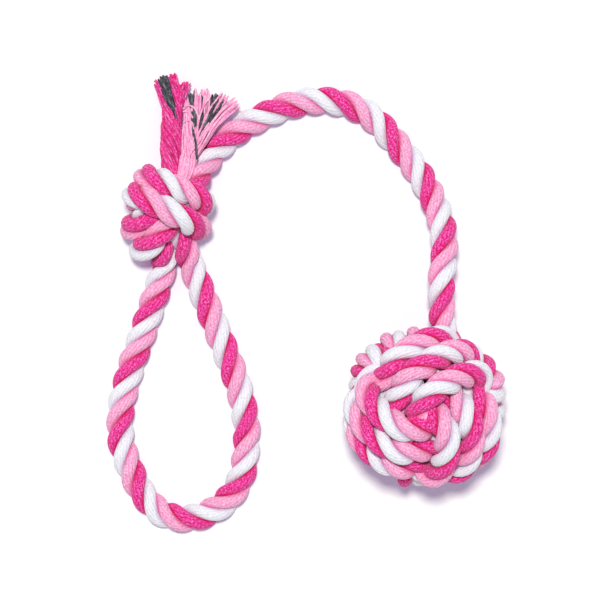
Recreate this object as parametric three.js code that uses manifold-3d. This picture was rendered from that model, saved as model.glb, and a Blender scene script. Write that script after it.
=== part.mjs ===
import * as THREE from 'three';
import { mergeVertices } from 'three/addons/utils/BufferGeometryUtils.js';
import Module from 'manifold-3d';

// A rope dog toy lying on a floor: one three-strand cotton rope, with a ball wound as a monkey's fist at
// one end, a hand loop at the other, and a doubled overhand knot that closes the loop. The rope's own end
// leaves that knot as three frayed tails. Millimetres, +Z up from the floor. While it is built, X and Y
// start at the middle of the knot.

// Colours
const HOT_PINK = 0xe8258a;
const LIGHT_PINK = 0xfa9cc4;
const WHITE = 0xf0f0f6;
const FILLER_GREY = 0x414148;
const CORE_COLOUR = 0xc9a06a;
const COTTON_ROUGHNESS = 0.9;

// Rope
const ROPE = 12.5;
const ROPE_SIDES = 10;
const ROPE_STEP = 12.5;
const ROPE_STRAIGHT = 4;
const CLEARANCE = 0.3;
const FLAT_SHARE = 0.1;

// A rope's own neighbourhood along it, in diameters, which isn't counted as a gap
const NEAR_ALONG = 2.5;

// Ball, wound in three sets of turns at right angles to each other
const FIST_ROPE = 8.2;
const FIST_TURN_SPACE = 1.3;
const FIST_LAYER_SPACE = 1.8;
const FIST_CORNER_SPACE = 3;
const FIST_RISE = 2.5;
const FIST_STEPS = 24;
const FIST_SIDES = 6;
const FIST_PLACE = [115, -88.5];
const FIST_TURNS = 3;
const FIST_LEAVE_DEG = 14;
const FIST_JOIN_DEG = 18;
const FIST_TUCK_DEG = 11;
const FIST_AZIMUTH_DEG = -6;
const CORE_SEGMENTS = 24;
const CORE_ROUGHNESS = 0.6;

// Knot, where the rope is squeezed
const KNOT_ROPE = 9;
const KNOT_GAP = 1;
const KNOT_STEP = 3;
const KNOT_SIDES = 8;
const KNOT_ROUNDS = 400;
const KNOT_PULL = 0.1;
const KNOT_PUSH = 0.25;
const KNOT_PINNED = 3;

// Stretches of the lead, measured along it from the knot
const LEAD_BEND = [48, 76];
const LEAD_LIFT = [124, 152];

// Stretches of the hand loop, measured towards the bow from the knot
const LOOP_LIFT = 20;
const LOOP_FOLD = [77, 95];

// Frayed tails, which leave the knot straight for a short way
const TAIL_STRAIGHT = 3;
const TAIL_SIDES = 10;
const FILLER_SIDES = 8;

// Height of a rope's middle line where it lies on the floor, on a narrow flat
const lyingHeight = (diameter) => diameter * (0.5 - FLAT_SHARE);
const lying = lyingHeight(ROPE);

// The rope's routes, chosen along its middle line
const standingTurns = [
  [18.8, 21, 8], [16.5, 17.4, 10], [13.8, 13, 13.5], [9, 7, 20], [1.5, -4, 25], [-7.5, -13, 24],
  [-13, -16, 15], [-9, -18, 7], [-1.5, -17, 5], [12.5, -12.5, 7], [19.2, -10.3, 18], [11.6, -6.2, 30],
  [-0.4, -1.3, 34], [-12.9, 4, 30], [-19.6, 5.4, 18], [-10, 3.5, 13], [-5, -6, 15], [-3.3, -13.8, 13],
  [-0.9, -23.6, 6.5], [-2, -28, 5.5],
];
const workingTurns = [
  [12, -28, 5.5], [10.3, -23.6, 6.5], [7.7, -13.8, 13], [3, 0.8, 15], [-5, 13.5, 13], [-15.2, 13.8, 18],
  [-9.8, 12.9, 30], [3.6, 8.5, 34], [13.4, 4.5, 30], [19.6, 1.8, 18], [12.5, -1.5, 7], [0, -6, 5],
  [-11, -10.5, 7], [-17, -8, 15], [-14.5, -7.5, 24], [-7, 3, 25], [1.5, 13, 20], [4.9, 17, 16], [6, 21, 14.5],
];
const leadRoute = [
  [28, 31.5, 5.2], [35, 37, lying], [42.5, 41, lying], [55, 46.5, lying], [68, 48.5, lying],
  [81.5, 46.5, lying], [91.5, 41, lying], [100.5, 31.5, lying], [111.5, 17.5, 6], [118.5, 5, 9],
  [122.5, -7, 14], [123.6, -19, 18.5], [123, -31, 22.3],
];
const loopRoute = [
  [-5.5, -39, lying], [-10.5, -54, lying], [-16.5, -71.5, lying], [-20.5, -88, lying], [-21, -96, lying],
  [-20.5, -104, lying], [-16, -117, lying], [-10.5, -127.5, lying], [-2.5, -135.5, lying],
  [7, -138, lying], [18.5, -135.5, lying], [27.5, -129, lying], [33.5, -118, lying],
  [35.5, -103, lying], [35.5, -97.5, lying], [32, -79.5, lying], [25.5, -62, lying],
  [19, -45.5, lying], [16, -38, lying],
];
// From the lead into the ball, measured from the ball's middle
const fistEntry = [[8.5, 46, -13], [10, 37.9, -14.5], [14.5, 31.5, -19], [20.5, 22.5, -21]];
const tails = [
  {
    name: 'hot_pink', colour: HOT_PINK, seat: [-2.3, 0.4],
    route: [[2.2, 29, 10.5], [1.8, 35, 8], [1.6, 42, 6], [1.3, 50, 5.5], [1, 57, 5.5]],
    halfWidth: [1.9, 2.4, 3.8, 4.4, 4.7, 5, 6.8], halfHeight: [1.9, 2.4, 3.4, 4, 4.2, 4.2, 3.6],
    filler: { points: 3, halfWidth: 2.2, halfHeight: 2.2, reach: 1.2 },
  },
  {
    name: 'light_pink', colour: LIGHT_PINK, seat: [1.9, 2.2],
    route: [[10.8, 28.5, 15.2], [13.2, 35.5, 13.4], [17, 43, 11.2], [21, 50, 9.8]],
    halfWidth: [1.9, 2.4, 3.8, 5.2, 8.5, 11], halfHeight: [1.9, 2.4, 2.8, 3, 3, 2.6],
    filler: { points: 3, halfWidth: 3.4, halfHeight: 1.3, reach: 1.2 },
  },
  {
    name: 'white', colour: WHITE, seat: [1.9, -2.2],
    route: [[9.6, 28.5, 8.4], [11, 35, 5.8], [12, 41, 4.4], [13, 48, 4]],
    halfWidth: [1.9, 2.2, 2.8, 3.6, 4, 4.6], halfHeight: [1.9, 2.1, 2.3, 2.6, 2.6, 2.4],
    filler: { points: 3, halfWidth: 1.6, halfHeight: 1.2, reach: 1 },
  },
];

const wasm = await Module();
wasm.setup();

const rad = THREE.MathUtils.degToRad;
const vectors = (points) => points.map((p) => new THREE.Vector3(...p));

const smoothstep = (x) => THREE.MathUtils.smoothstep(x, 0, 1);

function curveThrough(points) {
  const curve = new THREE.CatmullRomCurve3(points, false, 'centripetal');
  curve.arcLengthDivisions = 20 * points.length;
  return curve;
}

function spacedPoints(points, step) {
  const curve = curveThrough(points);
  return curve.getSpacedPoints(Math.round(curve.getLength() / step));
}

// The part of a curve between two lengths along it, with its ends square to the curve there
function stretch(curve, from, to, step) {
  const length = curve.getLength();
  const count = Math.max(2, Math.round((to - from) / step));
  const places = [from, from + CLEARANCE];
  for (let i = 1; i < count; i++) {
    places.push(from + ((to - from) * i) / count);
  }
  places.push(to - CLEARANCE, to);
  return { points: places.map((place) => curve.getPointAt(place / length)), count };
}

function tube(points, diameter, sides, steps) {
  const corners = [];
  for (let i = 0; i < sides; i++) {
    const angle = (2 * Math.PI * (i + 0.5)) / sides;
    corners.push(new THREE.Vector2(Math.cos(angle), Math.sin(angle)).multiplyScalar(diameter / 2));
  }
  return new THREE.ExtrudeGeometry(new THREE.Shape(corners), { steps, extrudePath: curveThrough(points) });
}

// A closed body of oval rings square to a route, each with its own half width and half height
function ovalBody(route, halfWidth, halfHeight, sides) {
  const up = new THREE.Vector3(0, 0, 1);
  const places = [];
  const faces = [];
  route.forEach((centre, k) => {
    const before = route[Math.max(0, k - 1)];
    const after = route[Math.min(route.length - 1, k + 1)];
    const along = after.clone().sub(before).normalize();
    const side = along.clone().cross(up).normalize();
    const rise = side.clone().cross(along);
    for (let i = 0; i < sides; i++) {
      const angle = (2 * Math.PI * i) / sides;
      places.push(centre.clone()
        .addScaledVector(side, halfWidth[k] * Math.cos(angle))
        .addScaledVector(rise, halfHeight[k] * Math.sin(angle)));
    }
  });
  const last = sides * (route.length - 1);
  for (let k = 0; k < last; k += sides) {
    for (let i = 0; i < sides; i++) {
      const j = (i + 1) % sides;
      faces.push(k + i, k + sides + i, k + j, k + j, k + sides + i, k + sides + j);
    }
  }
  for (let i = 1; i < sides - 1; i++) {
    faces.push(0, i, i + 1, last, last + i + 1, last + i);
  }
  const geometry = new THREE.BufferGeometry().setFromPoints(places);
  geometry.setIndex(faces);
  return geometry;
}

function solid(geometry) {
  const bare = geometry.clone();
  bare.deleteAttribute('normal');
  bare.deleteAttribute('uv');
  const merged = mergeVertices(bare, 1e-4);
  return new wasm.Manifold(new wasm.Mesh({
    numProp: 3,
    vertProperties: new Float32Array(merged.attributes.position.array),
    triVerts: new Uint32Array(merged.index.array),
  }));
}

function geometryOf(body) {
  const mesh = body.getMesh();
  const geometry = new THREE.BufferGeometry();
  geometry.setAttribute('position', new THREE.BufferAttribute(mesh.vertProperties, 3));
  geometry.setIndex(new THREE.BufferAttribute(mesh.triVerts, 1));
  return geometry;
}

// Takes away what would lie below the floor, which leaves the flat that the piece rests on
function flatBottom(geometry) {
  const box = new THREE.Box3().setFromBufferAttribute(geometry.attributes.position);
  const size = box.getSize(new THREE.Vector3());
  const block = new THREE.BoxGeometry(2 * size.x, 2 * size.y, 2 * ROPE);
  const middle = box.getCenter(new THREE.Vector3());
  block.translate(middle.x, middle.y, -ROPE);
  return geometryOf(solid(geometry).subtract(solid(block)));
}

// The least distance between two stretches that aren't neighbours along one rope
function leastDistance(ropes, neighbours) {
  let least = Infinity;
  const marked = ropes.map((rope) => {
    let along = 0;
    return rope.map((point, i) => {
      along += i ? point.distanceTo(rope[i - 1]) : 0;
      return { point, along };
    });
  });
  marked.forEach((first, m) => marked.slice(m).forEach((second, n) => first.forEach((a) => {
    for (const b of second) {
      if (n > 0 || b.along - a.along > neighbours) {
        least = Math.min(least, a.point.distanceTo(b.point));
      }
    }
  })));
  return least;
}

const rope = new THREE.Group();

function add(name, geometry, colour, roughness = COTTON_ROUGHNESS) {
  const material = new THREE.MeshStandardMaterial({ color: colour, roughness, metalness: 0 });
  const mesh = new THREE.Mesh(geometry, material);
  mesh.name = name;
  rope.add(mesh);
}

// Ball: each set of turns runs outside on one pair of faces and inside on the next pair, and steps aside
// once a turn, between two corners, where the next set covers it. The three sets are the same turns on the
// next axes.
const turnStep = FIST_ROPE + FIST_TURN_SPACE;
const layerStep = FIST_ROPE + FIST_LAYER_SPACE;
const middleRadius = Math.hypot(layerStep + Math.SQRT2 * turnStep + FIST_CORNER_SPACE, turnStep);

const firstCorner = 45;
const cornerAfter = (turns) => 135 - 360 * turns;

function fistTurn(set, degrees) {
  const angle = rad(degrees);
  const rise = Math.tanh(FIST_RISE * Math.cos(2 * angle)) / Math.tanh(FIST_RISE);
  const reach = middleRadius + (layerStep / 2) * rise;
  let aside = (1 - FIST_TURNS) / 2;
  for (let turns = 1; turns < FIST_TURNS; turns++) {
    aside += smoothstep((cornerAfter(turns) - degrees) / 90);
  }
  const offset = turnStep * aside;
  const radius = Math.sqrt(reach * reach - offset * offset);
  const place = [radius * Math.cos(angle), radius * Math.sin(angle), offset];
  return new THREE.Vector3(...[0, 1, 2].map((axis) => place[(axis + 3 - set) % 3]));
}

function fistRoute() {
  const points = [];
  for (let set = 0; set < 3; set++) {
    const first = set === 0 ? FIST_LEAVE_DEG : firstCorner - FIST_JOIN_DEG;
    const final = cornerAfter(FIST_TURNS) + (set === 2 ? -FIST_TUCK_DEG : FIST_JOIN_DEG);
    const count = Math.round(((first - final) / 360) * FIST_STEPS);
    for (let i = 0; i <= count; i++) {
      points.push(fistTurn(set, first + ((final - first) * i) / count));
    }
  }
  return points;
}

// One corner of the ball faces up, so that all three sets show from above. The rope comes from the lead
// under the first set, and its end is tucked in under the last.
const fistAxes = [0, 120, 240].map((degrees) => new THREE.Vector3(
  Math.SQRT2 * Math.cos(rad(degrees + FIST_AZIMUTH_DEG)),
  Math.SQRT2 * Math.sin(rad(degrees + FIST_AZIMUTH_DEG)), -1).normalize());
const fistMatrix = new THREE.Matrix4().makeBasis(...fistAxes);
const fistPoints = [...vectors(fistEntry), ...fistRoute().map((p) => p.applyMatrix4(fistMatrix))].reverse();
const fistCurve = curveThrough(fistPoints);
const fistFine = fistCurve.getSpacedPoints(4 * fistPoints.length);
const lowest = Math.min(...fistFine.map((p) => p.z));
const fistCentre = new THREE.Vector3(...FIST_PLACE, lyingHeight(FIST_ROPE) - lowest);
const fistGap = leastDistance([fistFine], NEAR_ALONG * FIST_ROPE) - FIST_ROPE;
console.log(`least gap between the ball's turns: ${fistGap.toFixed(2)} mm`);

const coreRadius = Math.min(...fistFine.map((p) => p.length())) - FIST_ROPE / 2 - CLEARANCE;
const core = new THREE.SphereGeometry(coreRadius, CORE_SEGMENTS, CORE_SEGMENTS / 2);
core.translate(...fistCentre);
add('fist_core', core, CORE_COLOUR, CORE_ROUGHNESS);

const fistPlaced = fistPoints.map((p) => p.clone().add(fistCentre));
add('fist_winding', flatBottom(tube(fistPlaced, FIST_ROPE, FIST_SIDES, fistPlaced.length - 1)), HOT_PINK);

// Knot: the two ropes of the doubled part push each other apart until each has its own room, while each
// stays drawn smooth
function settle(routes, distance) {
  let ropes = routes.map((route) => spacedPoints(vectors(route), KNOT_STEP));
  const neighbours = Math.ceil((1.6 * distance) / KNOT_STEP);
  for (let round = 1; round <= KNOT_ROUNDS; round++) {
    const shifts = ropes.map((points) => points.map(() => new THREE.Vector3()));
    ropes.forEach((first, m) => ropes.forEach((second, n) => first.forEach((a, i) => second.forEach((b, j) => {
      const apart = a.clone().sub(b);
      const short = distance - apart.length();
      const beside = m === n && Math.abs(i - j) < neighbours;
      if (!beside && short > 0) {
        shifts[m][i].addScaledVector(apart.normalize(), KNOT_PUSH * short);
      }
    }))));
    ropes = ropes.map((points, m) => points.map((point, i) => {
      if (i < KNOT_PINNED || i >= points.length - KNOT_PINNED) {
        return point;
      }
      const between = points[i - 1].clone().add(points[i + 1]).multiplyScalar(0.5).sub(point);
      const moved = point.clone().add(shifts[m][i].clampLength(0, KNOT_PUSH)).addScaledVector(between, KNOT_PULL);
      moved.z = Math.max(moved.z, lyingHeight(KNOT_ROPE));
      return moved;
    }));
    if (round % 10 === 0) {
      ropes = ropes.map((points) => spacedPoints(points, KNOT_STEP));
    }
  }
  return ropes;
}

const [standing, working] = settle([standingTurns, workingTurns], KNOT_ROPE + KNOT_GAP);
const knotFine = [standing, working].map((points) => spacedPoints(points, 1));
const knotGap = leastDistance(knotFine, NEAR_ALONG * KNOT_ROPE) - KNOT_ROPE;
console.log(`least gap between the knot's turns: ${knotGap.toFixed(2)} mm`);
add('knot_standing_turns', flatBottom(tube(standing, KNOT_ROPE, KNOT_SIDES, standing.length - 1)), LIGHT_PINK);
add('knot_working_turns', flatBottom(tube(working, KNOT_ROPE, KNOT_SIDES, working.length - 1)), HOT_PINK);

// Lead and hand loop: stretches that meet face to face
function addStretch(name, curve, from, to, colour) {
  const { points, count } = stretch(curve, from + CLEARANCE / 2, to - CLEARANCE / 2, ROPE_STEP);
  add(name, flatBottom(tube(points, ROPE, ROPE_SIDES, count)), colour);
}

// The end of a rope and a point further on, straight out of that end
function onward(end, before, reach) {
  const out = end.clone().sub(before).normalize();
  return [end.clone(), end.clone().addScaledVector(out, reach)];
}

const lead = curveThrough([
  ...onward(standing[0], standing[1], ROPE_STRAIGHT),
  ...vectors(leadRoute),
  ...onward(fistPlaced.at(-1), fistPlaced.at(-2), ROPE_STRAIGHT).reverse()]);
const leadLength = lead.getLength();
addStretch('lead_knot_end', lead, CLEARANCE / 2, LEAD_BEND[0], WHITE);
addStretch('lead_knot_flex', lead, ...LEAD_BEND, LIGHT_PINK);
addStretch('lead_middle', lead, LEAD_BEND[1], LEAD_LIFT[0], HOT_PINK);
addStretch('lead_ball_flex', lead, ...LEAD_LIFT, LIGHT_PINK);
addStretch('lead_ball_end', lead, LEAD_LIFT[1], leadLength - CLEARANCE / 2, WHITE);

const loop = curveThrough([
  ...onward(standing.at(-1), standing.at(-2), ROPE_STRAIGHT),
  ...vectors(loopRoute),
  ...onward(working[0], working[1], ROPE_STRAIGHT).reverse()]);
const loopLength = loop.getLength();
const fromRight = (length) => loopLength - length;
addStretch('handle_left_flex', loop, CLEARANCE / 2, LOOP_LIFT, LIGHT_PINK);
addStretch('handle_left_leg', loop, LOOP_LIFT, LOOP_FOLD[0], WHITE);
addStretch('handle_left_fold', loop, ...LOOP_FOLD, LIGHT_PINK);
addStretch('handle_bow', loop, LOOP_FOLD[1], fromRight(LOOP_FOLD[1]), HOT_PINK);
addStretch('handle_right_fold', loop, fromRight(LOOP_FOLD[1]), fromRight(LOOP_FOLD[0]), LIGHT_PINK);
addStretch('handle_right_leg', loop, fromRight(LOOP_FOLD[0]), fromRight(LOOP_LIFT), WHITE);
addStretch('handle_right_flex', loop, fromRight(LOOP_LIFT), fromRight(CLEARANCE / 2), LIGHT_PINK);

// Tails: the cover yarns of each strand, opened towards the tip, round the filler yarns in the middle. A
// tail's sizes start at its seat on the rope's end, then at the end of its straight way.
const ropeEnd = working.at(-1);
const endWay = ropeEnd.clone().sub(working.at(-2)).normalize();
const endSide = endWay.clone().cross(new THREE.Vector3(0, 0, 1)).normalize();
const endRise = endSide.clone().cross(endWay);

for (const tail of tails) {
  const seat = ropeEnd.clone().addScaledVector(endWay, CLEARANCE)
    .addScaledVector(endSide, tail.seat[0]).addScaledVector(endRise, tail.seat[1]);
  const route = [seat, seat.clone().addScaledVector(endWay, TAIL_STRAIGHT), ...vectors(tail.route)];
  const cover = ovalBody(route, tail.halfWidth, tail.halfHeight, TAIL_SIDES);

  const { points, halfWidth, halfHeight, reach } = tail.filler;
  const inside = route.slice(-points);
  const [, tip] = onward(inside.at(-1), inside.at(-2), reach);
  const [, back] = onward(inside[0], inside[1], CLEARANCE);
  const even = (size) => Array(points + 1).fill(size);
  const filler = ovalBody([...inside, tip], even(halfWidth), even(halfHeight), FILLER_SIDES);
  const room = ovalBody([back, ...inside.slice(1), tip],
    even(halfWidth + CLEARANCE), even(halfHeight + CLEARANCE), FILLER_SIDES);
  add(`${tail.name}_tail`, geometryOf(solid(cover).subtract(solid(room))), tail.colour);
  add(`${tail.name}_filler`, filler, FILLER_GREY);
}

// The origin goes to the middle of the whole toy, on the floor
const whole = new THREE.Box3().setFromObject(rope).getCenter(new THREE.Vector3());
rope.position.set(-whole.x, -whole.y, 0);

export default rope;
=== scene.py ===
import math

import bpy
import numpy as np
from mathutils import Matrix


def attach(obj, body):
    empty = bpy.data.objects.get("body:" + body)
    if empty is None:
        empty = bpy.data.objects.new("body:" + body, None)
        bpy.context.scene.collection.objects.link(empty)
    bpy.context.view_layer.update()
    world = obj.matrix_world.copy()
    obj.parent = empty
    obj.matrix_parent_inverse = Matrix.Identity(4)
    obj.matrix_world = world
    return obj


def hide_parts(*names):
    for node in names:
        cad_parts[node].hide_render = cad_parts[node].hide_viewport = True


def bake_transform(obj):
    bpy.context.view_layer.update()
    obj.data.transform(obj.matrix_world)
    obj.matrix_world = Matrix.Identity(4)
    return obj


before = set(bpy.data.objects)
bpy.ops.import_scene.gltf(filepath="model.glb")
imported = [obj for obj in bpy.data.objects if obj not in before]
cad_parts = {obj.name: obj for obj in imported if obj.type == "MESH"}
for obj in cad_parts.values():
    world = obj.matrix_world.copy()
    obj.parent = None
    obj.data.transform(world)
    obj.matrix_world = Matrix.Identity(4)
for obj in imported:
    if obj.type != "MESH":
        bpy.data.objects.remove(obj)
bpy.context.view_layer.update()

# Lengths are in millimetres, as the routes are in the part's source, and become metres in each mesh.
# There, X and Y start at the middle of the knot; SHIFT moves them to the part's own origin. The rope is ROPE
# thick, less FLAT_SHARE of that where it is pressed flat on the floor.
MM = 0.001
SHIFT = np.array([-61.865, 42.604, 0.0])
ROPE = 12.5
FLAT_SHARE = 0.1
TURN = 2 * math.pi
THIRD = TURN / 3
TINY = 1e-9

# Camera: straight down with a long lens. In the photograph the middle of the knot is at KNOT_PIXEL, and one
# pixel is 0.446 mm on the rope.
PIXEL = 0.446
IMAGE = 600
KNOT_PIXEL = [167, 209]
CAMERA_HEIGHT = 2000.0
SENSOR = 36.0
camera_data = bpy.data.cameras.new("camera")
camera_data.sensor_width = SENSOR
camera_data.lens = SENSOR * (CAMERA_HEIGHT - ROPE / 2) / (IMAGE * PIXEL)
camera = bpy.data.objects.new("camera", camera_data)
camera.location = (
    ((IMAGE / 2 - KNOT_PIXEL[0]) * PIXEL + SHIFT[0]) * MM,
    ((KNOT_PIXEL[1] - IMAGE / 2) * PIXEL + SHIFT[1]) * MM,
    CAMERA_HEIGHT * MM)
bpy.context.collection.objects.link(camera)
bpy.context.scene.camera = camera

# Routes of the rope's middle line, as in the part's source. Where the rope lies on the floor, its middle is
# at the height of lying.
lying = ROPE * (0.5 - FLAT_SHARE)
standing_turns = [
    [18.8, 21, 8], [16.5, 17.4, 10], [13.8, 13, 13.5], [9, 7, 20], [1.5, -4, 25], [-7.5, -13, 24],
    [-13, -16, 15], [-9, -18, 7], [-1.5, -17, 5], [12.5, -12.5, 7], [19.2, -10.3, 18], [11.6, -6.2, 30],
    [-0.4, -1.3, 34], [-12.9, 4, 30], [-19.6, 5.4, 18], [-10, 3.5, 13], [-5, -6, 15], [-3.3, -13.8, 13],
    [-0.9, -23.6, 6.5], [-2, -28, 5.5]]
working_turns = [
    [12, -28, 5.5], [10.3, -23.6, 6.5], [7.7, -13.8, 13], [3, 0.8, 15], [-5, 13.5, 13], [-15.2, 13.8, 18],
    [-9.8, 12.9, 30], [3.6, 8.5, 34], [13.4, 4.5, 30], [19.6, 1.8, 18], [12.5, -1.5, 7], [0, -6, 5],
    [-11, -10.5, 7], [-17, -8, 15], [-14.5, -7.5, 24], [-7, 3, 25], [1.5, 13, 20], [4.9, 17, 16],
    [6, 21, 14.5]]
lead_route = [
    [28, 31.5, 5.2], [35, 37, lying], [42.5, 41, lying], [55, 46.5, lying], [68, 48.5, lying],
    [81.5, 46.5, lying], [91.5, 41, lying], [100.5, 31.5, lying], [111.5, 17.5, 6], [118.5, 5, 9],
    [122.5, -7, 14], [123.6, -19, 18.5], [123, -31, 22.3]]
loop_route = [
    [-5.5, -39, lying], [-10.5, -54, lying], [-16.5, -71.5, lying], [-20.5, -88, lying], [-21, -96, lying],
    [-20.5, -104, lying], [-16, -117, lying], [-10.5, -127.5, lying], [-2.5, -135.5, lying],
    [7, -138, lying], [18.5, -135.5, lying], [27.5, -129, lying], [33.5, -118, lying], [35.5, -103, lying],
    [35.5, -97.5, lying], [32, -79.5, lying], [25.5, -62, lying], [19, -45.5, lying], [16, -38, lying]]
fist_entry = [[8.5, 46, -13], [9, 37.9, -14.5], [10.5, 31.5, -19], [16, 22.5, -21]]
# Steps of a curve from one point to the next, and how far the lead and the loop run on straight at their ends
CURVE_PARTS = 20
ROPE_STRAIGHT = 4

# Where the hand loop folds, and places where one cord ends and the next starts, along the rope from the knot
LEAD_SPLIT = 100
LOOP_SPLIT = 76.5
LOOP_FOLD = [77, 95]

# Ball: a monkey's fist of three rings, each of three turns, as the part's source winds it
FIST_ROPE = 8.2
FIST_TURN_STEP = 9.5
FIST_LAYER_STEP = 10.0
FIST_CORNER_SPACE = 3
FIST_CORNER_DEG = 45
FIST_STEP_DEG = 15
FIST_CURVE_PARTS = 12
FIST_RISE = 2.5
FIST_TURNS = 3
FIST_LEAVE_DEG = 14
FIST_JOIN_DEG = 18
FIST_TUCK_DEG = 11
FIST_AZIMUTH_DEG = -6
FIST_PLACE = [115, -88.5]

# Knot: its two ropes push each other apart in rounds, with their ends held. Points of one rope that are
# nearer along it than KNOT_NEAR of the ropes' distance don't push each other.
KNOT_ROPE = 9
KNOT_GAP = 1
KNOT_STEP = 3
KNOT_ROUNDS = 400
KNOT_RESPACE_ROUNDS = 10
KNOT_NEAR = 1.6
KNOT_PULL = 0.1
KNOT_PUSH = 0.25
KNOT_PINNED = 3

# In the ball and the knot the strands press into each other, so the middle lines lie closer in than those
# of the solids, and both are moved a little to where the photograph has them
FIST_TURNED_DEG = 23
FIST_TILT_DEG = 9
FIST_SPREAD = 1.3
FIST_DRAW = 0.957
FIST_SHIFT = [-0.8, 1.0, 0]
KNOT_DRAW = 0.95
KNOT_SHIFT = [-1.3, 0.9, 0]
DRAW_TAPER = 40.0
KNOT_SAG = [1.6, -3.7, 0]
KNOT_SAG_PLACE = [-13, -12]
KNOT_SAG_REACH = 17.0
LEAD_BALL_SHIFT = [-1.6, 0.4, 0]
LEAD_BALL_REACH = 30.0
LEAD_KNOT_SHIFT = [-0.5, 0.5, 0]
LEAD_KNOT_REACH = 60.0
UNMOVED = [0, 0, 0]

# The rope's line has a row for each STEP. Its first direction across is square to LINE_ASIDE.
STEP = 1.0
SMOOTH_ROUNDS = 3
LINE_ASIDE = [0.3, 0.2, 1.0]
# The look of the rope: three strands, laid right-handed, of twelve yarns each. A strand lies STRAND_OUT from
# the rope's line, and its half height and half width are STRAND_HIGH and STRAND_WIDE.
YARNS = 12
STRAND_SIDES = 4 * YARNS
STRAND_OUT = 3.15
STRAND_HIGH = 3.1
STRAND_WIDE = 3.5
YARN_PITCH = 20.0
YARN_DEPTH = 0.055
# Half the thickness to which ball and knot squeeze the rope, and the stretch over which that starts
FIST_LOOK = 6.05
KNOT_LOOK = 5.75
TAPER = 14.0

# Two strands of the ball change places this far from its tucked end, out of sight
FIST_SPLIT = 432
# The working rope ends this many rows before its line does, inside the tails
ROPE_END_CUT = 15

rng = np.random.default_rng(7)


def smoothstep(x):
    x = np.clip(x, 0, 1)
    return x * x * (3 - 2 * x)


def unit(v):
    return v / np.linalg.norm(v, axis=-1, keepdims=True)


def mirrored(v, normal):
    """A direction mirrored in the plane that the normal stands on."""
    return v - 2 * normal * (normal @ v) / (normal @ normal)


def rotation(axis, degrees):
    """The matrix of a turn round the X, Y or Z axis, given as 0, 1 or 2."""
    cosine = math.cos(math.radians(degrees))
    sine = math.sin(math.radians(degrees))
    after = (axis + 1) % 3
    last = (axis + 2) % 3
    matrix = np.eye(3)
    matrix[after, after] = cosine
    matrix[last, last] = cosine
    matrix[after, last] = -sine
    matrix[last, after] = sine
    return matrix


def curve_through(points, parts=CURVE_PARTS):
    """Points along the centripetal curve through these points."""
    p = np.asarray(points, float)
    q = np.vstack([2 * p[0] - p[1], p, 2 * p[-1] - p[-2]])
    gaps = np.sqrt(np.maximum(np.linalg.norm(np.diff(q, axis=0), axis=1), TINY))
    made = []
    for i in range(len(p) - 1):
        t1 = gaps[i]
        t2 = t1 + gaps[i + 1]
        t3 = t2 + gaps[i + 2]
        t = np.linspace(t1, t2, parts, endpoint=False)[:, None]
        a, b, c, d = q[i:i + 4]
        first = (t1 - t) / t1 * a + t / t1 * b
        second = (t2 - t) / (t2 - t1) * b + (t - t1) / (t2 - t1) * c
        third = (t3 - t) / (t3 - t2) * c + (t - t2) / (t3 - t2) * d
        low = (t2 - t) / t2 * first + t / t2 * second
        high = (t3 - t) / (t3 - t1) * second + (t - t1) / (t3 - t1) * third
        made.append((t2 - t) / (t2 - t1) * low + (t - t1) / (t2 - t1) * high)
    made.append(p[-1:])
    return np.vstack(made)


def lengths(points):
    """The distance along the points, at each of them."""
    return np.r_[0, np.cumsum(np.linalg.norm(np.diff(points, axis=0), axis=1))]


def spaced(points, step):
    """Points at even steps along these points."""
    along = lengths(points)
    places = np.linspace(0, along[-1], max(2, round(along[-1] / step)) + 1)
    return np.column_stack([np.interp(places, along, points[:, k]) for k in range(3)])


def settle(routes, distance):
    """The knot's two ropes push each other apart until each has its own room, as in the part's source."""
    ropes = [spaced(curve_through(route), KNOT_STEP) for route in routes]
    near = math.ceil(KNOT_NEAR * distance / KNOT_STEP)
    floor = KNOT_ROPE * (0.5 - FLAT_SHARE)
    for turn in range(1, KNOT_ROUNDS + 1):
        shifts = [np.zeros_like(rope) for rope in ropes]
        for m, first in enumerate(ropes):
            for n, second in enumerate(ropes):
                apart = first[:, None] - second[None]
                size = np.linalg.norm(apart, axis=2)
                short = np.maximum(distance - size, 0)
                if m == n:
                    places = np.arange(len(first))
                    short[np.abs(places[:, None] - places[None]) < near] = 0
                push = apart / np.maximum(size, TINY)[..., None] * short[..., None]
                shifts[m] += KNOT_PUSH * push.sum(axis=1)
        for m, rope in enumerate(ropes):
            size = np.linalg.norm(shifts[m], axis=1, keepdims=True)
            shift = shifts[m] * np.minimum(1, KNOT_PUSH / np.maximum(size, TINY))
            moved = rope.copy()
            between = (rope[:-2] + rope[2:]) / 2 - rope[1:-1]
            moved[1:-1] += shift[1:-1] + KNOT_PULL * between
            moved[:, 2] = np.maximum(moved[:, 2], floor)
            moved[:KNOT_PINNED] = rope[:KNOT_PINNED]
            moved[-KNOT_PINNED:] = rope[-KNOT_PINNED:]
            ropes[m] = moved
        if turn % KNOT_RESPACE_ROUNDS == 0:
            ropes = [spaced(curve_through(rope), KNOT_STEP) for rope in ropes]
    return ropes


def fist_corner(turns):
    """The corner, in degrees, where the last quarter of a turn begins."""
    return FIST_CORNER_DEG + 90 - 360 * turns


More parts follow.
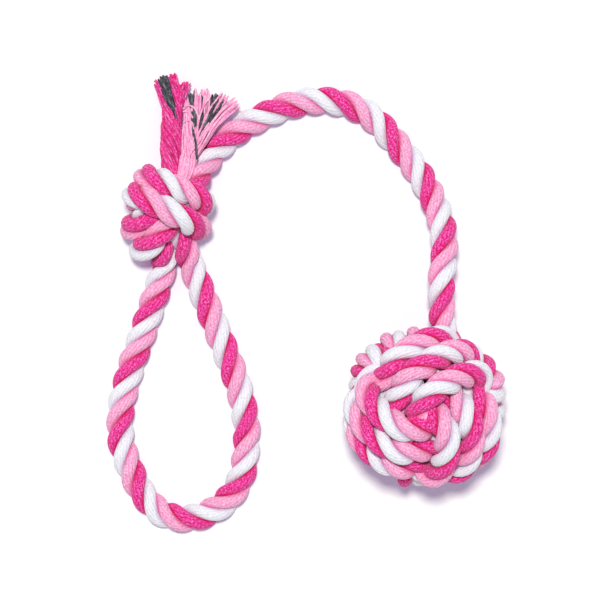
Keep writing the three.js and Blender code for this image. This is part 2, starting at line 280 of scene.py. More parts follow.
def fist_path():
    """The ball's winding from its tucked end to the lead, turned on its core as in the photograph."""
    middle = math.hypot(FIST_LAYER_STEP + math.sqrt(2) * FIST_TURN_STEP + FIST_CORNER_SPACE, FIST_TURN_STEP)
    # The three rings' axes stand at right angles to each other, and all slope down alike
    azimuths = np.radians(np.array([0, 120, 240]) + FIST_AZIMUTH_DEG)
    level = math.sqrt(2)
    axes = unit(np.column_stack([level * np.cos(azimuths), level * np.sin(azimuths), -np.ones(3)]))
    placing = (rotation(0, FIST_TILT_DEG) @ rotation(2, FIST_TURNED_DEG)).T
    points = [np.array(fist_entry, float)]
    lowest = 0
    for ring in range(3):
        first = FIST_LEAVE_DEG if ring == 0 else FIST_CORNER_DEG - FIST_JOIN_DEG
        final = fist_corner(FIST_TURNS) + (-FIST_TUCK_DEG if ring == 2 else FIST_JOIN_DEG)
        degrees = np.linspace(first, final, round((first - final) / FIST_STEP_DEG) + 1)
        angle = np.radians(degrees)
        rise = np.tanh(FIST_RISE * np.cos(2 * angle)) / math.tanh(FIST_RISE)
        reach = middle + FIST_LAYER_STEP / 2 * rise
        aside = sum(smoothstep((fist_corner(turns) - degrees) / 90) for turns in range(1, FIST_TURNS))
        offset = FIST_TURN_STEP * FIST_SPREAD * (aside - (FIST_TURNS - 1) / 2)
        radius = np.sqrt(reach ** 2 - offset ** 2)
        place = [radius * np.cos(angle), radius * np.sin(angle), offset]
        local = np.column_stack([place[(axis + 3 - ring) % 3] for axis in range(3)])
        lowest = min(lowest, (local @ axes)[:, 2].min())
        points.append(local @ axes @ placing)
    path = curve_through(np.vstack(points), FIST_CURVE_PARTS)[::-1]
    return path + np.array([*FIST_PLACE, FIST_ROPE * (0.5 - FLAT_SHARE) - lowest])


def drawn_in(path, centre, draw, shift, start_shift=None, end_shift=None):
    """The path drawn towards a centre, and less and less near an end that has a shift of its own."""
    distance = lengths(path)
    drawn = (np.asarray(centre) - path) * (1 - draw) + np.asarray(shift)
    for from_end, own in ((distance, start_shift), (distance[-1] - distance, end_shift)):
        if own is not None:
            share = smoothstep(from_end / DRAW_TAPER)[:, None]
            drawn = share * drawn + (1 - share) * np.asarray(own)
    return path + drawn


def sagged(path):
    """The knot's turn at the lower left, lying lower in the picture than it does in the solids."""
    away = np.linalg.norm(path[:, :2] - KNOT_SAG_PLACE, axis=1)
    return path + smoothstep(1 - away / KNOT_SAG_REACH)[:, None] * np.array(KNOT_SAG)


def lead_moved(path):
    """The lead, from the ball, with each end moved as the rope that it joins is."""
    from_ball = lengths(path)
    from_knot = from_ball[-1] - from_ball
    ball_share = smoothstep(1 - from_ball / LEAD_BALL_REACH)[:, None]
    knot_share = smoothstep(1 - from_knot / LEAD_KNOT_REACH)[:, None]
    return path + ball_share * np.array(LEAD_BALL_SHIFT) + knot_share * np.array(LEAD_KNOT_SHIFT)


def onward(end, before):
    """The end of a rope and a point straight on from it."""
    return [end, end + unit(end - before) * ROPE_STRAIGHT]


def route_between(first, route, last):
    """The curve along a route between two ropes' ends, each given as the end and the point before it."""
    return curve_through(np.vstack([*onward(*first), *np.array(route, float), *onward(*last)[::-1]]))


def joined(stretches):
    """The stretches as one even line, in the part's own place, and the first and last row of each in it."""
    joined_line = np.empty((0, 3))
    ends = {}
    for name, points in stretches.items():
        points = spaced(points, STEP)
        start = max(0, len(joined_line) - 1)
        ends[name] = (start, start + len(points) - 1)
        joined_line = np.vstack([joined_line, points[1:] if start else points])
    for _ in range(SMOOTH_ROUNDS):
        joined_line[1:-1] = (joined_line[:-2] + 2 * joined_line[1:-1] + joined_line[2:]) / 4
    return joined_line + SHIFT, ends


def untwisted_side(line, way):
    """A direction across the line at each row, carried along it without twist."""
    side = np.zeros_like(line)
    side[0] = unit(np.cross(way[0], LINE_ASIDE))
    for i in range(len(line) - 1):
        step = line[i + 1] - line[i]
        carried = mirrored(side[i], step)
        bend = way[i + 1] - mirrored(way[i], step)
        side[i + 1] = unit(mirrored(carried, bend))
    return side


# The whole rope, from the ball's tucked end to the tails, as one line with one set of directions along it
standing, working = settle([standing_turns, working_turns], KNOT_ROPE + KNOT_GAP)
fist = fist_path()
lead = route_between(standing[:2], lead_route, fist[:-3:-1])
loop = route_between(standing[:-3:-1], loop_route, working[:2])
fist_centre = [*FIST_PLACE, fist[:, 2].mean()]
knot_centre = (standing.mean(axis=0) + working.mean(axis=0)) / 2
knot_draw = (knot_centre, KNOT_DRAW, KNOT_SHIFT)
line, ends = joined({
    "fist": drawn_in(fist, fist_centre, FIST_DRAW, FIST_SHIFT, end_shift=LEAD_BALL_SHIFT),
    "lead": lead_moved(lead[::-1]),
    "standing": sagged(drawn_in(curve_through(standing), *knot_draw, LEAD_KNOT_SHIFT, UNMOVED)),
    "loop": loop,
    "working": sagged(drawn_in(curve_through(working), *knot_draw, UNMOVED, UNMOVED))})
along = lengths(line)
way = unit(np.gradient(line, axis=0))
side = untwisted_side(line, way)
rise = np.cross(way, side)


def place_of(part, distance):
    """The row of the whole line at a distance along one of its parts."""
    first, last = ends[part]
    return int(np.clip(np.searchsorted(along, along[first] + distance), first, last))


def part_length(part):
    first, last = ends[part]
    return along[last] - along[first]


# The lay: how far the strands have turned. Each row names a part of the line, a distance along it, and
# which strand lies on top there: 0 light pink, 1 hot pink, 2 white, and parts of 1 on the way to the next.
PITCH = 27.5
TOPS = [
    ("fist", 44, 1.65), ("fist", 215, 0.15), ("fist", 390, 1.5), ("fist", 521, 0.4), ("fist", 693, 1.9),
    ("fist", 750, 0.69), ("fist", 868, 2.95), ("fist", 925, 0.58), ("fist", 996, 0.4), ("fist", 1167, 2.65),
    ("fist", 1342, 2.9),
    ("lead", 9.2, 2), ("lead", 37.2, 2), ("lead", 63.7, 2), ("lead", 119.4, 2), ("lead", 176.5, 2),
    ("standing", 46.5, 1), ("standing", 105.6, 1), ("standing", 136.2, 1),
    ("loop", 0, 2.2), ("loop", 81, 2), ("loop", 164.2, 2), ("loop", 251.5, 2),
    ("working", 63.6, 1), ("working", 90.4, 1), ("working", 147.1, 1), ("working", 181.9, 0.33)]


def lay():
    """How far the strands have turned at each row: evenly between two tops, and about once in a pitch."""
    up = np.arctan2(rise[:, 2], side[:, 2])
    distances = []
    turns = []
    for part, distance, strand in TOPS:
        row = place_of(part, distance)
        wanted = up[row] + strand * THIRD
        if turns:
            natural = turns[-1] + (along[row] - distances[-1]) / PITCH * TURN
            wanted += TURN * round((natural - wanted) / TURN)
        distances.append(along[row])
        turns.append(wanted)
    before_first = np.minimum(along - distances[0], 0) / PITCH * TURN
    return np.interp(along, distances, turns) + before_first


def rope_radius():
    """Half the rope's thickness at each row: less in knot and ball, and nowhere thinner than in the ball."""
    radius = np.full(len(line), ROPE / 2)
    for part, look in (("fist", FIST_LOOK), ("standing", KNOT_LOOK), ("working", KNOT_LOOK)):
        first, last = ends[part]
        inside = along[last] - along
        if first > 0:
            inside = np.minimum(inside, along - along[first])
        radius -= (ROPE / 2 - look) * smoothstep((inside + TAPER / 2) / TAPER)
    return np.maximum(radius, FIST_LOOK)


strand_turn = lay()
radius = rope_radius()


def cotton_object(name, vertices, faces, uv, shade_amounts, materials, slots):
    """A smooth mesh with a map of its yarns, and at each point how much painted shade it takes, up to 1: more
    where a strand faces into the groove between strands, and where a yarn faces down.
    """
    mesh = bpy.data.meshes.new(name)
    mesh.from_pydata((np.vstack(vertices) * MM).tolist(), [], faces)
    layer = mesh.uv_layers.new(name="yarn")
    layer.data.foreach_set("uv", np.vstack(uv).astype(np.float32).ravel())
    for material in materials:
        mesh.materials.append(material)
    mesh.polygons.foreach_set("material_index", np.asarray(slots, np.int32))
    mesh.polygons.foreach_set("use_smooth", np.ones(len(mesh.polygons), bool))
    painted_shade = mesh.attributes.new("painted_shade", "FLOAT", "POINT")
    painted_shade.data.foreach_set("value", np.concatenate(shade_amounts).astype(np.float32))
    mesh.update()
    made = bpy.data.objects.new(name, mesh)
    bpy.context.collection.objects.link(made)
    return made


def tube_faces(count, sides, base):
    """Faces of a tube of rings, with its two ends closed, and each face corner's place round and along."""
    k, i = np.meshgrid(np.arange(count - 1), np.arange(sides), indexing="ij")
    j = (i + 1) % sides
    quads = np.stack([k * sides + i, k * sides + j, (k + 1) * sides + j, (k + 1) * sides + i], axis=-1)
    faces = (quads.reshape(-1, 4) + base).tolist()
    corner_round = np.stack([i, i + 1, i + 1, i], axis=-1).reshape(-1)
    corner_along = np.stack([k, k, k + 1, k + 1], axis=-1).reshape(-1)
    faces.append([base + count * sides + s for s in range(sides)][::-1])
    faces.append([base + (count + 1) * sides + s for s in range(sides)])
    corner_round = np.r_[corner_round, np.arange(sides)[::-1], np.arange(sides)]
    corner_along = np.r_[corner_along, np.zeros(sides, int), np.full(sides, count - 1)]
    return faces, corner_round, corner_along


def with_ends(rings):
    """The rings of a tube, and its first and last ring once more for the faces that close it."""
    return np.concatenate([rings, rings[:1], rings[-1:]])


# The map of the yarns: once round a strand is 1, and so is this length along it
STRAND_MAP_LENGTH = 10


def rope_piece(name, first, last, materials):
    """Three strands between two rows of the whole line."""
    rows = np.arange(first, last + 1)
    vertices, faces, uv, shade_amounts, slots = [], [], [], [], []
    # The columns of each strand's mesh run along its yarns, which turn the other way round from the strands
    columns = np.arange(STRAND_SIDES) / STRAND_SIDES
    theta = TURN * (columns[None, :] - (along[rows] / YARN_PITCH)[:, None])
    yarn = 1 - YARN_DEPTH * (1 - np.abs(np.cos(math.pi * YARNS * columns)))
    # How far round each strand faces the rope's middle, where it meets the others and takes the painted shade
    inward = np.abs((theta / math.pi + 1) % 2 - 1)
    scale = (radius[rows] / (ROPE / 2))[:, None, None]
    for strand in range(3):
        angle = strand_turn[rows] - strand * THIRD
        out = np.cos(angle)[:, None] * side[rows] + np.sin(angle)[:, None] * rise[rows]
        aside = -np.sin(angle)[:, None] * side[rows] + np.cos(angle)[:, None] * rise[rows]
        ring = (STRAND_OUT + STRAND_HIGH * yarn * np.cos(theta))[..., None] * out[:, None, :]
        ring = ring + (STRAND_WIDE * yarn * np.sin(theta))[..., None] * aside[:, None, :]
        points = line[rows][:, None, :] + ring * scale
        points[..., 2] = np.maximum(points[..., 2], 0)
        base = sum(len(v) for v in vertices)
        strand_faces, corner_round, corner_along = tube_faces(len(rows), STRAND_SIDES, base)
        vertices.append(with_ends(points).reshape(-1, 3))
        faces += strand_faces
        map_along = along[rows][corner_along] / STRAND_MAP_LENGTH
        uv.append(np.column_stack([corner_round / STRAND_SIDES, map_along]))
        shade_amounts.append(with_ends(inward).ravel())
        slots += [strand] * len(strand_faces)
    return cotton_object(name, vertices, faces, uv, shade_amounts, materials, slots)


# Cotton: matte, with a little sheen
COTTON = {"Roughness": 0.92, "Specular IOR Level": 0.15, "Sheen Weight": 0.15, "Sheen Roughness": 0.55}
# Fibres are drawn out along the yarns: so many round a strand, and so many along one length of its map.
# Speckles of dye and tufts are so many for each metre.
FIBRES_ROUND = 34.0
FIBRES_ALONG = 9.0
FIBRE_NOISE = {"Scale": 1.0, "Detail": 3.0, "Roughness": 0.65}
DYE_NOISE = {"Scale": 1450.0, "Detail": 3.0, "Roughness": 0.7}
TUFT_NOISE = {"Scale": 620.0, "Detail": 2.0, "Roughness": 0.6}
# Where the dye is pale, plain and deep, and how much fibres and speckles do to that, and how much paler the
# tops of the yarns' ridges are painted, a painted highlight
DYE_STOPS = (0.34, 0.46, 0.58)
FIBRE_SHARE = 0.5
SPECKLE_SHARE = 0.5
RIDGE_HIGHLIGHT = 0.06
# How deep between two strands the painted shade starts and is full, made uneven by the tufts
GROOVE_FROM = 0.44
GROOVE_FULL = 0.7
TUFT_SHARE = 0.12
# Bumps of the surface, with their distance in metres
BUMP_STRENGTH = 0.8
BUMP_DISTANCE = 0.0005
FIBRE_HEIGHT = 1.1
TUFT_HEIGHT = 0.35
RIDGE_HEIGHT = 0.28


def srgb(r, g, b):
    """A screen colour as the linear colour that a shader takes."""
    return [*(c / 255 / 12.92 if c <= 10 else ((c / 255 + 0.055) / 1.055) ** 2.4 for c in (r, g, b)), 1.0]


def math_node(tree, operation, a, b=0):
    """The outlet of a math node whose two inlets take numbers or other outlets."""
    node = tree.nodes.new("ShaderNodeMath")
    node.operation = operation
    for socket, value in zip(node.inputs, (a, b)):
        if isinstance(value, (int, float)):
            socket.default_value = value
        else:
            tree.links.new(value, socket)
    return node.outputs[0]


def weighted_sum(tree, *terms):
    """The outlet that adds up other outlets, each with its weight."""
    total = None
    for outlet, weight in terms:
        term = math_node(tree, "MULTIPLY", outlet, weight)
        total = term if total is None else math_node(tree, "ADD", total, term)
    return total


def noise(tree, settings, vector):
    """The outlet of a noise with these settings."""
    node = tree.nodes.new("ShaderNodeTexNoise")
    for name, value in settings.items():
        node.inputs[name].default_value = value
    tree.links.new(vector, node.inputs["Vector"])
    return node.outputs["Fac"]


def cotton(name, pale, colour, deep, painted_shade):
    """Cotton: fibres along each yarn, dye from pale to deep, the tops of the yarns' ridges painted a little
    paler as a highlight, and a painted shade colour for where two strands meet and under the yarns.
    """
    material = bpy.data.materials.new(name)
    material.use_nodes = True
    tree = material.node_tree
    nodes = tree.nodes
    links = tree.links
    shader = nodes["Principled BSDF"]
    for socket, value in COTTON.items():
        shader.inputs[socket].default_value = value

    uv = nodes.new("ShaderNodeUVMap")
    uv.uv_map = "yarn"
    stretch = nodes.new("ShaderNodeMapping")
    stretch.inputs["Scale"].default_value = (FIBRES_ROUND, FIBRES_ALONG, 1)
    links.new(uv.outputs["UV"], stretch.inputs["Vector"])
    fibres = noise(tree, FIBRE_NOISE, stretch.outputs["Vector"])
    place = nodes.new("ShaderNodeTexCoord")
    speckles = noise(tree, DYE_NOISE, place.outputs["Object"])
    tufts = noise(tree, TUFT_NOISE, place.outputs["Object"])
    split = nodes.new("ShaderNodeSeparateXYZ")
    links.new(uv.outputs["UV"], split.inputs["Vector"])
    waves = math_node(tree, "COSINE", math_node(tree, "MULTIPLY", split.outputs["X"], math.pi * YARNS))
    ridge = math_node(tree, "ABSOLUTE", waves)

    ramp = nodes.new("ShaderNodeValToRGB")
    stops = ramp.color_ramp.elements
    stops.new(DYE_STOPS[1])
    for stop, position, dye in zip(stops, DYE_STOPS, (pale, colour, deep)):
        stop.position = position
        stop.color = dye
    # The tops of the yarns' ridges are painted paler than their valleys: painted highlight
    amount = weighted_sum(tree, (fibres, FIBRE_SHARE), (speckles, SPECKLE_SHARE), (ridge, -RIDGE_HIGHLIGHT))
    links.new(amount, ramp.inputs["Fac"])

    # Painted shade: the colour turns to the shade colour where two strands meet and under the yarns
    meets = nodes.new("ShaderNodeAttribute")
    meets.attribute_name = "painted_shade"
    edge = nodes.new("ShaderNodeMapRange")
    edge.interpolation_type = "SMOOTHSTEP"
    edge.inputs["From Min"].default_value = GROOVE_FROM
    edge.inputs["From Max"].default_value = GROOVE_FULL
    uneven = math_node(tree, "MULTIPLY", tufts, TUFT_SHARE)
    links.new(math_node(tree, "ADD", meets.outputs["Fac"], uneven), edge.inputs["Value"])
    mix = nodes.new("ShaderNodeMix")
    mix.data_type = "RGBA"
    mix.inputs["B"].default_value = painted_shade
    links.new(edge.outputs["Result"], mix.inputs["Factor"])
    links.new(ramp.outputs["Color"], mix.inputs["A"])
    links.new(mix.outputs["Result"], shader.inputs["Base Color"])

    bump = nodes.new("ShaderNodeBump")
    bump.inputs["Strength"].default_value = BUMP_STRENGTH
    bump.inputs["Distance"].default_value = BUMP_DISTANCE
    height = weighted_sum(tree, (fibres, FIBRE_HEIGHT), (tufts, TUFT_HEIGHT), (ridge, RIDGE_HEIGHT))
    links.new(height, bump.inputs["Height"])
    links.new(bump.outputs["Normal"], shader.inputs["Normal"])
    return material


# The last colour of each cotton is painted shade, for where two strands meet and under the yarns
light_pink = cotton("light_pink_yarn", pale=srgb(254, 214, 234), colour=srgb(252, 173, 214),
                    deep=srgb(234, 122, 176), painted_shade=srgb(236, 112, 172))
hot_pink = cotton("hot_pink_yarn", pale=srgb(255, 142, 206), colour=srgb(238, 44, 152),
                  deep=srgb(206, 0, 92), painted_shade=srgb(210, 0, 92))
white = cotton("white_yarn", pale=srgb(254, 254, 255), colour=srgb(243, 244, 251),
               deep=srgb(224, 223, 238), painted_shade=srgb(212, 204, 226))
grey = cotton("grey_yarn", pale=srgb(132, 132, 140), colour=srgb(72, 72, 80),
              deep=srgb(30, 30, 36), painted_shade=srgb(24, 24, 29))
rope_materials = [light_pink, hot_pink, white]


def free_rope(name, first, last, replaced):
    """A cord between two rows of the whole line, in place of the parts it replaces."""
    piece = rope_piece(name, first, last, rope_materials)
    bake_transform(piece)
    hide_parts(*replaced)


def wound_rope(name, first, last, body, replaced, materials):
    """Rope of the knot or the ball between two rows of the whole line."""
    piece = rope_piece(name, first, last, materials)
    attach(piece, body)
    if replaced:
        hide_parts(replaced)


# Cords: the lead in two pieces, and the hand loop in three
lead_length = part_length("lead")
loop_length = part_length("loop")


def loop_point(distance):
    """The hand loop's point at a distance from its left end, in metres."""
    return line[place_of("loop", distance)] * MM


lead_first, lead_last = ends["lead"]
lead_split = place_of("lead", lead_length - LEAD_SPLIT)
free_rope("lead_ball_rope", lead_first, lead_split,
          ["lead_ball_end", "lead_ball_flex"])
free_rope("lead_knot_rope", lead_split, lead_last,
          ["lead_middle", "lead_knot_flex", "lead_knot_end"])

loop_first, loop_last = ends["loop"]
left_split = place_of("loop", LOOP_SPLIT)
right_split = place_of("loop", loop_length - LOOP_SPLIT)
free_rope("handle_left_rope", loop_first, left_split,
          ["handle_left_flex", "handle_left_leg"])
free_rope("handle_right_rope", right_split, loop_last,
          ["handle_right_flex", "handle_right_leg"])
# Points at the fold, midway between the legs and set straight along Y; nothing uses them
fold = [(loop_point(distance) + loop_point(loop_length - distance)) / 2 for distance in LOOP_FOLD]
fold[1][0] = fold[0][0]
free_rope("handle_bow_rope", left_split, right_split,
          ["handle_left_fold", "handle_bow", "handle_right_fold"])

# Knot and ball
working_first, working_last = ends["working"]
wound_rope("knot_standing_rope", *ends["standing"], "knot", "knot_standing_turns", rope_materials)
wound_rope("knot_working_rope", working_first, working_last - ROPE_END_CUT, "knot", "knot_working_turns",
           rope_materials)
fist_first, fist_last = ends["fist"]
fist_split = place_of("fist", FIST_SPLIT)
wound_rope("fist_rope", fist_split, fist_last, "ball", "fist_winding", rope_materials)
wound_rope("fist_end_rope", fist_first, fist_split, "ball", None, [light_pink, white, hot_pink])
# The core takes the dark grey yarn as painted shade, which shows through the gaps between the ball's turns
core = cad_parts["fist_core"]
core.data.materials.clear()
core.data.materials.append(grey)

# Tails: the three strands of the rope's end, opened into their yarns round dark grey filler yarns. YARN,
# LIGHT_YARN and FILLER are half a yarn's thickness, of which each yarn has THICK_LEAST or up to THICK_SPREAD
# more.
YARN = 0.36
LIGHT_YARN = 0.42
FILLER = 0.46
THICK_LEAST = 0.85
THICK_SPREAD = 0.3
# A yarn's mesh, whose sides start square to YARN_ASIDE and stay FLOOR_GAP above the floor
YARN_SIDES = 6
YARN_POINTS = 34
YARN_ASIDE = [0.13, 0.21, 1.0]
FLOOR_GAP = 0.05
# A yarn fluffs out over its last stretch, and its tip is blunt
FLUFF = 0.3
FLUFF_POWER = 4
TIP_SIZE = 0.6
TIP_RISE = 12
# A yarn's place on the map of the yarns: a narrow strip of it, anywhere
YARN_MAP_WIDTH = 0.03
YARN_MAP_REACH = 9
YARN_MAP_LENGTH = 40
# Steps along a bundle and along a single stray yarn
BUNDLE_STEP = 0.25
STRAY_STEP = 0.7
# How the yarns of a bundle leave their places: a sway along them, a splay at their tips, and their height
SWAY_LEAST = 5
SWAY_SPREAD = 6
SWAY_START = 6.28
SPLAY_POWER = 6
HIGH_SPREAD = 0.12
# The angle from one yarn to the next that spreads them evenly over the bundle's section
GOLDEN = math.pi * (3 - math.sqrt(5))


def yarn_tubes(name, paths, radii, material):
    """One mesh of thin tubes, fluffed out towards their blunt tips."""
    vertices, faces, uv, shade_amounts = [], [], [], []
    theta = TURN * np.arange(YARN_SIDES) / YARN_SIDES
    # The underside of each yarn takes the painted shade
    below = (1 - np.sin(theta)) / 2
    for path, thick in zip(paths, radii):
        path = path + SHIFT
        direction = unit(np.gradient(path, axis=0))
        across = unit(np.cross(direction, YARN_ASIDE))
        over = np.cross(across, direction)
        share = np.linspace(0, 1, len(path))
        tip = np.minimum(1, (1 - share) * TIP_RISE + TIP_SIZE)
        fluffed = (1 + FLUFF * share ** FLUFF_POWER) * tip
        ring = np.cos(theta)[None, :, None] * across[:, None] + np.sin(theta)[None, :, None] * over[:, None]
        points = path[:, None] + ring * (thick * fluffed)[:, None, None]
        points[..., 2] = np.maximum(points[..., 2], FLOOR_GAP)
        base = sum(len(v) for v in vertices)
        yarn_faces, corner_round, corner_along = tube_faces(len(path), YARN_SIDES, base)
        vertices.append(with_ends(points).reshape(-1, 3))
        faces += yarn_faces
        map_round = corner_round / YARN_SIDES * YARN_MAP_WIDTH + rng.random() * YARN_MAP_REACH
        uv.append(np.column_stack([map_round, lengths(path)[corner_along] / YARN_MAP_LENGTH]))
        shade_amounts.append(np.tile(below, len(path) + 2))
    return cotton_object(name, vertices, faces, uv, shade_amounts, [material], [0] * len(faces))


def bundle(spine, widths, heights, count, twist, ragged=0.14, wobble=0.35, splay=1.1):
    """Yarns that fill a long body along the spine, turned round it by so many turns."""
    share = np.linspace(0, 1, YARN_POINTS)
    middle = spaced(curve_through(spine), BUNDLE_STEP)
    distance = lengths(middle) / lengths(middle)[-1]
    spine_distance = lengths(np.asarray(spine, float))
    stations = spine_distance / spine_distance[-1]
    paths = []
    for k in range(count):
        t = share * (1 - ragged * rng.random())
        centre = np.column_stack([np.interp(t, distance, middle[:, axis]) for axis in range(3)])
        direction = unit(np.gradient(centre, axis=0))
        across = unit(np.cross(direction, [0, 0, 1]))
        over = np.cross(across, direction)
        reach = math.sqrt((k + 0.5) / count)
        angle = k * GOLDEN - TURN * twist * t
        waves = SWAY_LEAST + SWAY_SPREAD * rng.random()
        sway = wobble * np.sin(t * waves + SWAY_START * rng.random()) * t
        loose = splay * (rng.random() - 0.5) * 2 * t ** SPLAY_POWER
        out = np.cos(angle) * reach * np.interp(t, stations, widths) + sway + loose
        high = np.sin(angle) * reach * np.interp(t, stations, heights) * (1 + HIGH_SPREAD * rng.random())
        path = centre + out[:, None] * across + high[:, None] * over
        path[:, 2] = np.maximum(path[:, 2], YARN + FLOOR_GAP)
        paths.append(path)
    return paths


def tail(name, yarns, thick, material, replaced):
    """A piece of yarns from the knot, in place of the part it replaces."""
    radii = [thick * (THICK_LEAST + THICK_SPREAD * rng.random()) for _ in yarns]
    piece = yarn_tubes(name, yarns, radii, material)
    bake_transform(piece)
    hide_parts(replaced)


# Hot pink tail: three locks that leave the knot as one, each with its tip's points, half widths and half
# heights from the knot on, and its number of yarns
HOT_TWIST = -1.1
hot_low = [[2.6, 12, 18], [1.7, 18, 15.5], [1.7, 24, 12], [1.9, 30, 9], [2.0, 37, 6.6]]
hot_locks = [
    ([[1.0, 45, 5.6], [-1.8, 52, 5.4], [-5.4, 57.6, 5.0]],
     [2.6, 3.8, 4.5, 4.7, 4.4, 3.2, 2.2, 1.9], [2.6, 3.0, 3.6, 3.6, 3.4, 3.2, 2.6, 1.6], 40),
    ([[3.2, 45, 5.8], [3.2, 52, 5.6], [1.4, 60.6, 5.4]],
     [2.6, 3.8, 4.5, 4.8, 4.8, 3.8, 2.8, 2.3], [2.8, 3.2, 3.8, 3.8, 3.6, 3.4, 2.6, 1.8], 52),
    ([[4.4, 45, 5.4], [6.0, 51.5, 5.0], [9.2, 57.4, 4.6]],
     [2.6, 3.8, 4.5, 4.7, 4.0, 2.8, 2.2, 2.0], [2.6, 3.0, 3.6, 3.6, 3.4, 3.0, 2.4, 1.6], 38)]
hot_yarns = []
for tip, widths, heights, count in hot_locks:
    hot_yarns += bundle(hot_low + tip, widths, heights, count, HOT_TWIST)
tail("hot_pink_tail_yarns", hot_yarns, YARN, hot_pink, "hot_pink_tail")
hot_filler = bundle([[4.2, 37, 7.6], [3.2, 43, 8.9], [1.6, 48, 8.7], [-0.4, 54, 7.8], [-2.0, 59.6, 7.0]],
                    [0.3, 0.7, 1.4, 2.0, 2.2], [0.3, 0.6, 0.9, 1.2, 1.2],
                    count=15, twist=-0.25, ragged=0.12)
tail("hot_pink_filler_yarns", hot_filler, FILLER, grey, "hot_pink_filler")

# Light pink tail: a fan of five locks, each with its tip's points, half widths and half heights, number of
# yarns, twist and wobble
light_low = [[6.6, 11.5, 18], [8.6, 17, 17.8], [10.0, 22.5, 16.8]]
light_low_widths = [2.8, 3.5, 3.6]
light_low_heights = [2.4, 2.6, 2.8]
light_locks = [
    ([[10.0, 29, 15.2], [10.3, 37, 12.8], [10.2, 44, 11], [10.0, 49, 10]],
     [3.0, 2.6, 2.1, 1.8], [2.6, 2.4, 2.0, 1.4], 42, -0.35, 0.35),
    ([[11.2, 29, 15.6], [12.6, 38, 13.6], [13.4, 46, 12], [14.2, 53.4, 10.6]],
     [2.6, 1.9, 1.6, 1.5], [2.4, 1.9, 1.6, 1.2], 16, -0.3, 0.6),
    ([[11.8, 29, 15], [14.6, 38, 12.8], [16.6, 47, 11], [18.2, 54.8, 9.6]],
     [2.5, 1.9, 1.6, 1.5], [2.4, 1.9, 1.6, 1.2], 16, -0.3, 0.6),
    ([[13.6, 29, 15], [17.6, 37, 13], [22.2, 45, 11.4], [27.3, 51.6, 10.6]],
     [2.4, 1.9, 1.7, 1.7], [2.4, 2.0, 1.6, 1.2], 16, -0.3, 0.6),
    ([[14.6, 28.5, 15], [19.4, 35.5, 13.4], [25.6, 41.8, 11.8], [32.4, 46.6, 11.2]],
     [2.5, 2.4, 2.2, 2.2], [2.4, 2.2, 1.8, 1.3], 26, -0.3, 0.6)]
# Loose yarns that lie across the others
light_strays = [
    [[7.4, 44.4, 12.4], [9.4, 45.8, 13.6], [11.8, 45.2, 14.2], [13.6, 42.6, 14.8], [14.4, 38, 15]],
    [[7.4, 43.2, 12.6], [9.2, 43.2, 13.6], [11.2, 41.2, 14.6], [12.6, 37.6, 15.6], [13.2, 33, 16.6]],
    [[7.5, 38.2, 13.6], [9.2, 39.2, 15], [11.2, 38.4, 15.8], [12.3, 35.4, 16.4], [12.6, 31, 17]],
    [[14.6, 36, 14.8], [17.6, 41.4, 14], [20.6, 46.4, 13], [24.8, 51.6, 12.2]],
    [[13.6, 35, 15.6], [14.8, 41, 14.8], [16.8, 46, 13.8], [19.6, 50, 12.6]],
    [[16.4, 36.4, 14.4], [18.4, 42.4, 13.8], [19, 47.6, 12.8], [18.4, 52.6, 11.4]]]
light_yarns = []
for tip, widths, heights, count, twist, wobble in light_locks:
    light_yarns += bundle(light_low + tip, light_low_widths + widths, light_low_heights + heights,
                          count, twist, wobble=wobble)
light_yarns += [spaced(curve_through(points), STRAY_STEP) for points in light_strays]
tail("light_pink_tail_yarns", light_yarns, LIGHT_YARN, light_pink,
     "light_pink_tail")

# Its filler, in five bundles between the locks, each with its points, half widths, half heights, number of
# yarns and how ragged its end is
FILLER_TWIST = 0.2
light_filler_bundles = [
    ([[11.8, 31, 15.6], [12.4, 38.4, 15.4], [11.6, 46, 11.8], [10.8, 52.8, 10.2]],
     [0.3, 1.2, 0.9, 0.7], [0.3, 0.8, 0.8, 0.7], 8, 0.1),
    ([[13.2, 31, 14.6], [15.3, 40, 14.2], [15.8, 46, 11.6], [15.6, 51.6, 10.4]],
     [0.3, 0.8, 0.7, 0.6], [0.3, 0.7, 0.7, 0.6], 6, 0.1),
    ([[14, 32, 14.2], [18.4, 39, 13.6], [20.8, 45, 12.2], [21.6, 51.6, 11]],
     [0.4, 1.4, 1.7, 1.6], [0.4, 0.9, 1.0, 0.9], 13, 0.15),
    ([[15, 32, 14.2], [20.4, 39.4, 12.8], [23.4, 44.6, 12], [24.8, 50, 11.2]],
     [0.3, 0.8, 0.8, 0.7], [0.3, 0.7, 0.7, 0.6], 7, 0.1),
    ([[13.7, 21.8, 18.6], [13.3, 26.8, 18.4], [12.5, 31.4, 17.4], [11.6, 36, 15.8]],
     [0.1, 0.2, 0.3, 0.2], [0.1, 0.2, 0.2, 0.1], 2, 0.1)]
light_filler = []
for points, widths, heights, count, ragged in light_filler_bundles:
    light_filler += bundle(points, widths, heights, count, FILLER_TWIST, ragged)
tail("light_pink_filler_yarns", light_filler, FILLER, grey,
     "light_pink_filler")

# White tail: one lock under the light pink one, with thinner filler
white_yarns = bundle([[7, 12, 14], [8.4, 19, 11.5], [9.6, 28.5, 8.6], [10.8, 36, 6.2], [11.8, 43, 4.8],
                      [12.4, 49, 4.4]],
                     [2.4, 2.8, 3.0, 3.0, 2.6, 2.2], [2.2, 2.6, 2.8, 2.6, 2.4, 2.0], count=56, twist=0.4)
tail("white_tail_yarns", white_yarns, YARN, white, "white_tail")
white_filler = bundle([[10.8, 36, 6.2], [11.6, 42, 5.2], [12.2, 49.4, 4.8]],
                      [0.6, 1.0, 1.2], [0.6, 0.9, 0.9], count=12, twist=FILLER_TWIST)
tail("white_filler_yarns", white_filler, YARN, grey, "white_filler")

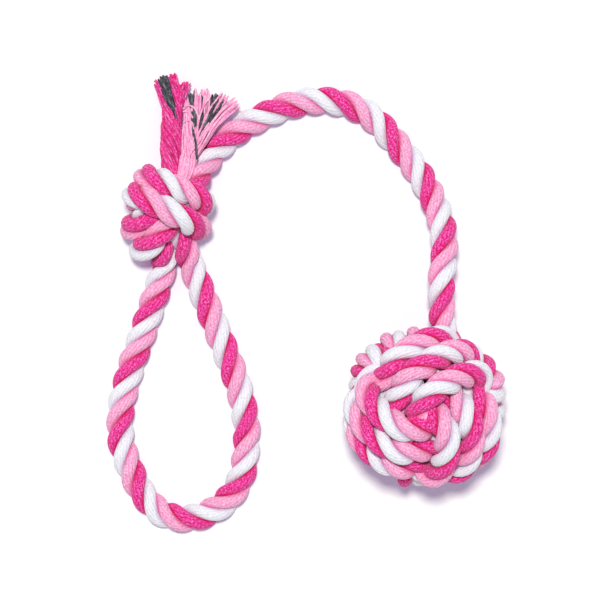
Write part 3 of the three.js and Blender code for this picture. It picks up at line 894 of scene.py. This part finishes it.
# Floor: pale where the camera sees it, plain where it lights the toy from below, with a faint violet glow
# that gives the shadow the photograph's tint. Its half width is in metres.
FLOOR_HALF = 3
FLOOR_BOUNCE = (0.82, 0.82, 0.82, 1)
FLOOR_SEEN = (0.91, 0.943, 0.823, 1)
FLOOR_GLOW = (0.038, 0.0, 0.144, 1)
floor_mesh = bpy.data.meshes.new("floor")
floor_corners = [(x * FLOOR_HALF, y * FLOOR_HALF, 0) for x, y in ((-1, -1), (1, -1), (1, 1), (-1, 1))]
floor_mesh.from_pydata(floor_corners, [], [(0, 1, 2, 3)])
floor = bpy.data.objects.new("floor", floor_mesh)
bpy.context.collection.objects.link(floor)
floor_material = bpy.data.materials.new("floor")
floor_material.use_nodes = True
tree = floor_material.node_tree
tree.nodes.remove(tree.nodes["Principled BSDF"])
rays = tree.nodes.new("ShaderNodeLightPath")
shown = math_node(tree, "MAXIMUM", rays.outputs["Is Glossy Ray"], rays.outputs["Is Transmission Ray"])
seen = math_node(tree, "MAXIMUM", rays.outputs["Is Camera Ray"], shown)
tint = tree.nodes.new("ShaderNodeMix")
tint.data_type = "RGBA"
tint.inputs["A"].default_value = FLOOR_BOUNCE
tint.inputs["B"].default_value = FLOOR_SEEN
tree.links.new(seen, tint.inputs["Factor"])
lit = tree.nodes.new("ShaderNodeBsdfDiffuse")
tree.links.new(tint.outputs["Result"], lit.inputs["Color"])
glow = tree.nodes.new("ShaderNodeEmission")
glow.inputs["Color"].default_value = FLOOR_GLOW
tree.links.new(seen, glow.inputs["Strength"])
both = tree.nodes.new("ShaderNodeAddShader")
tree.links.new(lit.outputs[0], both.inputs[0])
tree.links.new(glow.outputs[0], both.inputs[1])
tree.links.new(both.outputs[0], tree.nodes["Material Output"].inputs["Surface"])
floor_mesh.materials.append(floor_material)

# Light: an even, nearly white world, and a soft sun almost overhead, a little towards the picture's top
WORLD_COLOUR = (1.0, 0.985, 1.0, 1)
WORLD_STRENGTH = 0.37
SUN_STRENGTH = 2.48
SUN_WIDTH_DEG = 8
SUN_TURN_DEG = (-10.6, -2.2, 0)
world = bpy.data.worlds.new("world")
world.use_nodes = True
background = world.node_tree.nodes["Background"]
background.inputs["Color"].default_value = WORLD_COLOUR
background.inputs["Strength"].default_value = WORLD_STRENGTH
bpy.context.scene.world = world

sun_data = bpy.data.lights.new("key", "SUN")
sun_data.energy = SUN_STRENGTH
sun_data.angle = math.radians(SUN_WIDTH_DEG)
sun = bpy.data.objects.new("key", sun_data)
sun.rotation_euler = [math.radians(degrees) for degrees in SUN_TURN_DEG]
bpy.context.collection.objects.link(sun)

bpy.context.scene.view_settings.view_transform = "Standard"
